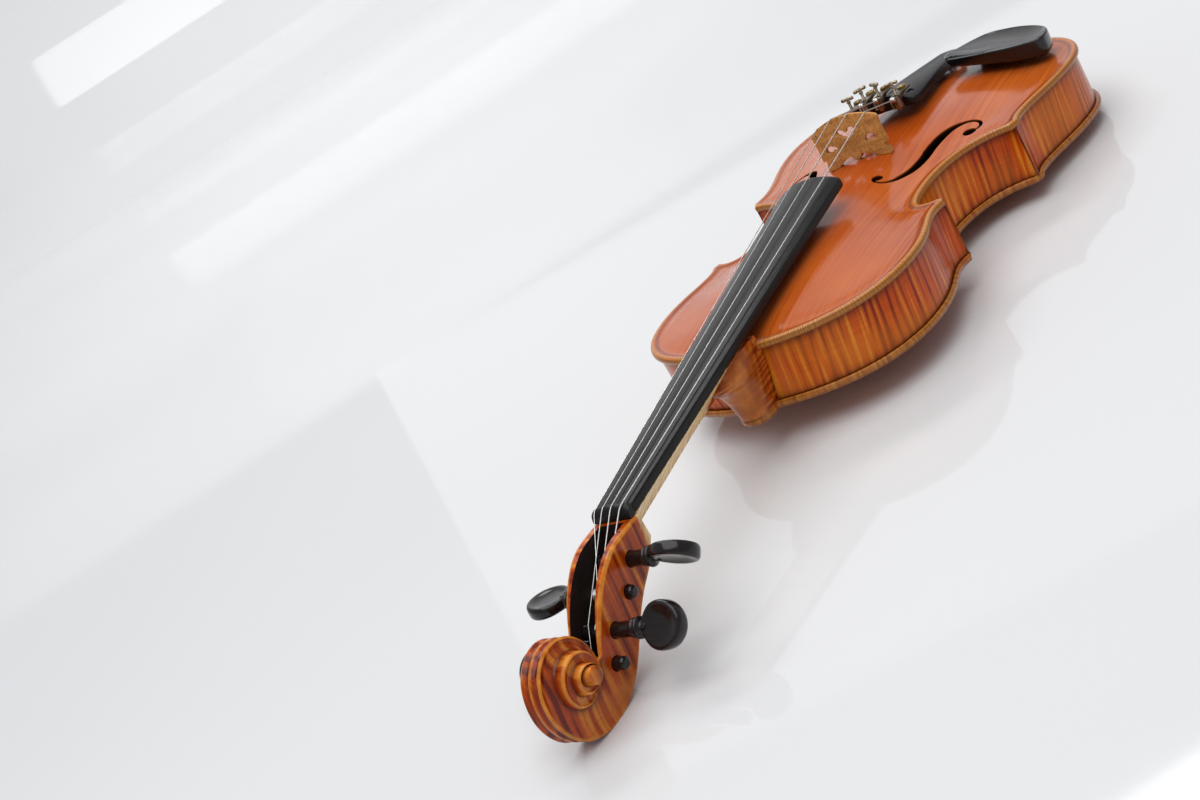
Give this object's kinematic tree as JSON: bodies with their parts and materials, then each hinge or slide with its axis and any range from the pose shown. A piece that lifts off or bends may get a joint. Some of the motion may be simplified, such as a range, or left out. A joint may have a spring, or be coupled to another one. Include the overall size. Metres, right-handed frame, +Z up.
{
  "type": "violin",
  "caption": "Full-size four-string violin with varnished arched body, scroll, tuning pegs, bridge, tailpiece with fine tuners and a side chin rest.",
  "frame": {"origin": "bottom centre of the bounding box, on the table under the violin as it lies on its back", "axes": "+Y from the scroll to the end pin, +Z up away from the table, +X to the bass (G string) side"},
  "size_m": [0.208, 0.6002, 0.0918],
  "materials": {
    "spruce_top": "orange-brown spirit varnish over fine straight-grained spruce, glossy",
    "maple_back": "orange-brown varnish over flamed maple, glossy",
    "maple_ribs": "red-orange varnish over strongly flamed maple, glossy",
    "maple_neck": "bare pale maple handle, varnished heel, pegbox and scroll",
    "bridge_maple": "unvarnished flecked maple, satin",
    "spruce_inner": "bare spruce",
    "willow": "bare willow",
    "ebony": "polished ebony, satin",
    "peg_ebony": "turned ebony, satin",
    "chinrest_black": "black-stained hardwood, satin cup and glossy sides",
    "string_steel": "wound and plain steel strings",
    "tuner_metal": "worn nickel over brass",
    "clamp_nickel": "nickel-plated brass",
    "tailgut_black": "black nylon cord"
  },
  "bodies": {
    "violin": {"back_plate": "maple_back", "bass_bar": "spruce_inner", "bridge": "bridge_maple", "chinrest_cup": "chinrest_black", "chinrest_top_bracket": "clamp_nickel", "corner_block_lower_bass": "willow", "corner_block_lower_treble": "willow", "corner_block_upper_bass": "willow", "corner_block_upper_treble": "willow", "end_block": "willow", "endpin": "ebony", "fingerboard": "ebony", "lining_lower_back_bass": "willow", "lining_lower_back_treble": "willow", "lining_lower_top_bass": "willow", "lining_lower_top_treble": "willow", "lining_upper_top_bass": "willow", "lining_upper_top_treble": "willow", "neck_and_scroll": "maple_neck", "neck_block": "willow", "nut": "ebony", "rib_lower_bass": "maple_ribs", "rib_lower_treble": "maple_ribs", "rib_upper_bass": "maple_ribs", "rib_upper_treble": "maple_ribs", "rib_waist_bass": "maple_ribs", "rib_waist_treble": "maple_ribs", "saddle": "ebony", "sound_post": "spruce_inner", "string_A": "string_steel", "string_D": "string_steel", "string_E": "string_steel", "string_G": "string_steel", "tailgut": "tailgut_black", "tailpiece": "ebony", "top_plate": "spruce_top", "tuner_bracket_A": "tuner_metal", "tuner_bracket_D": "tuner_metal", "tuner_bracket_E": "tuner_metal", "tuner_bracket_G": "tuner_metal"},
    "peg_G_body": {"peg_G": "peg_ebony"},
    "peg_D_body": {"peg_D": "peg_ebony"},
    "peg_A_body": {"peg_A": "peg_ebony"},
    "peg_E_body": {"peg_E": "peg_ebony"},
    "tuner_rod_G_body": {"tuner_rod_G": "tuner_metal"},
    "tuner_thumb_G_body": {"tuner_thumb_G": "tuner_metal"},
    "tuner_lever_G_body": {"tuner_lever_G": "tuner_metal"},
    "tuner_rod_D_body": {"tuner_rod_D": "tuner_metal"},
    "tuner_thumb_D_body": {"tuner_thumb_D": "tuner_metal"},
    "tuner_lever_D_body": {"tuner_lever_D": "tuner_metal"},
    "tuner_rod_A_body": {"tuner_rod_A": "tuner_metal"},
    "tuner_thumb_A_body": {"tuner_thumb_A": "tuner_metal"},
    "tuner_lever_A_body": {"tuner_lever_A": "tuner_metal"},
    "tuner_rod_E_body": {"tuner_rod_E": "tuner_metal"},
    "tuner_thumb_E_body": {"tuner_thumb_E": "tuner_metal"},
    "tuner_lever_E_body": {"tuner_lever_E": "tuner_metal"},
    "chinrest_foot_body": {"chinrest_foot": "clamp_nickel"},
    "chinrest_barrel_A_body": {"chinrest_barrel_A": "clamp_nickel"},
    "chinrest_barrel_B_body": {"chinrest_barrel_B": "clamp_nickel"}
  },
  "joints": [
    {"name": "peg_G_turn", "type": "hinge", "parent": "violin", "child": "peg_G_body", "pos_m": [0, -0.21585, 0.04519], "axis": [1, 0, 0], "continuous": true},
    {"name": "peg_D_turn", "type": "hinge", "parent": "violin", "child": "peg_D_body", "pos_m": [0, -0.24572, 0.02929], "axis": [1, 0, 0], "continuous": true},
    {"name": "peg_A_turn", "type": "hinge", "parent": "violin", "child": "peg_A_body", "pos_m": [0, -0.25537, 0.01837], "axis": [-1, 0, 0], "continuous": true},
    {"name": "peg_E_turn", "type": "hinge", "parent": "violin", "child": "peg_E_body", "pos_m": [0, -0.22754, 0.03576], "axis": [-1, 0, 0], "continuous": true},
    {"name": "tuner_G_screw_travel", "type": "slide", "parent": "violin", "child": "tuner_rod_G_body", "axis": [0, -0.0407, -0.9992], "range_m": [0, 0.0012]},
    {"name": "tuner_G_head_turn", "type": "hinge", "parent": "tuner_rod_G_body", "child": "tuner_thumb_G_body", "pos_m": [0.0158, 0.17127, 0.08454], "axis": [0, -0.0407, -0.9992], "range_deg": [0, 865]},
    {"name": "tuner_G_lever_rock", "type": "hinge", "parent": "violin", "child": "tuner_lever_G_body", "pos_m": [0.0158, 0.16693, 0.07131], "axis": [-1, 0, 0], "range_deg": [0, 18.5]},
    {"name": "tuner_D_screw_travel", "type": "slide", "parent": "violin", "child": "tuner_rod_D_body", "axis": [0, -0.0407, -0.9992], "range_m": [0, 0.0012]},
    {"name": "tuner_D_head_turn", "type": "hinge", "parent": "tuner_rod_D_body", "child": "tuner_thumb_D_body", "pos_m": [0.0052, 0.17139, 0.08762], "axis": [0, -0.0407, -0.9992], "range_deg": [0, 865]},
    {"name": "tuner_D_lever_rock", "type": "hinge", "parent": "violin", "child": "tuner_lever_D_body", "pos_m": [0.0052, 0.16705, 0.07439], "axis": [-1, 0, 0], "range_deg": [0, 18.5]},
    {"name": "tuner_A_screw_travel", "type": "slide", "parent": "violin", "child": "tuner_rod_A_body", "axis": [0, -0.0407, -0.9992], "range_m": [0, 0.0012]},
    {"name": "tuner_A_head_turn", "type": "hinge", "parent": "tuner_rod_A_body", "child": "tuner_thumb_A_body", "pos_m": [-0.0052, 0.17139, 0.08762], "axis": [0, -0.0407, -0.9992], "range_deg": [0, 865]},
    {"name": "tuner_A_lever_rock", "type": "hinge", "parent": "violin", "child": "tuner_lever_A_body", "pos_m": [-0.0052, 0.16705, 0.07439], "axis": [-1, 0, 0], "range_deg": [0, 18.5]},
    {"name": "tuner_E_screw_travel", "type": "slide", "parent": "violin", "child": "tuner_rod_E_body", "axis": [0, -0.0407, -0.9992], "range_m": [0, 0.0012]},
    {"name": "tuner_E_head_turn", "type": "hinge", "parent": "tuner_rod_E_body", "child": "tuner_thumb_E_body", "pos_m": [-0.0158, 0.17127, 0.08454], "axis": [0, -0.0407, -0.9992], "range_deg": [0, 865]},
    {"name": "tuner_E_lever_rock", "type": "hinge", "parent": "violin", "child": "tuner_lever_E_body", "pos_m": [-0.0158, 0.16693, 0.07131], "axis": [-1, 0, 0], "range_deg": [0, 18.5]},
    {"name": "chinrest_foot_travel", "type": "slide", "parent": "violin", "child": "chinrest_foot_body", "axis": [0, -0.0407, -0.9992], "range_m": [0, 0.003]},
    {"name": "chinrest_barrel_A_turn", "type": "hinge", "parent": "violin", "child": "chinrest_barrel_A_body", "pos_m": [0.05607, 0.28636, 0.02536], "axis": [0, -0.0407, -0.9992], "range_deg": [0, 775]},
    {"name": "chinrest_barrel_B_turn", "type": "hinge", "parent": "violin", "child": "chinrest_barrel_B_body", "pos_m": [0.0271, 0.29414, 0.02504], "axis": [0, -0.0407, -0.9992], "range_deg": [0, 775]}
  ],
  "couplings": [
    {"joint": "tuner_G_head_turn", "follows": "tuner_G_screw_travel", "rad_per_m": 12566},
    {"joint": "tuner_G_lever_rock", "follows": "tuner_G_screw_travel", "rad_per_m": 263.16},
    {"joint": "tuner_D_head_turn", "follows": "tuner_D_screw_travel", "rad_per_m": 12566},
    {"joint": "tuner_D_lever_rock", "follows": "tuner_D_screw_travel", "rad_per_m": 263.16},
    {"joint": "tuner_A_head_turn", "follows": "tuner_A_screw_travel", "rad_per_m": 12566},
    {"joint": "tuner_A_lever_rock", "follows": "tuner_A_screw_travel", "rad_per_m": 263.16},
    {"joint": "tuner_E_head_turn", "follows": "tuner_E_screw_travel", "rad_per_m": 12566},
    {"joint": "tuner_E_lever_rock", "follows": "tuner_E_screw_travel", "rad_per_m": 263.16},
    {"joint": "chinrest_barrel_A_turn", "follows": "chinrest_foot_travel", "rad_per_m": 4488},
    {"joint": "chinrest_barrel_B_turn", "follows": "chinrest_foot_travel", "rad_per_m": 4488}
  ]
}
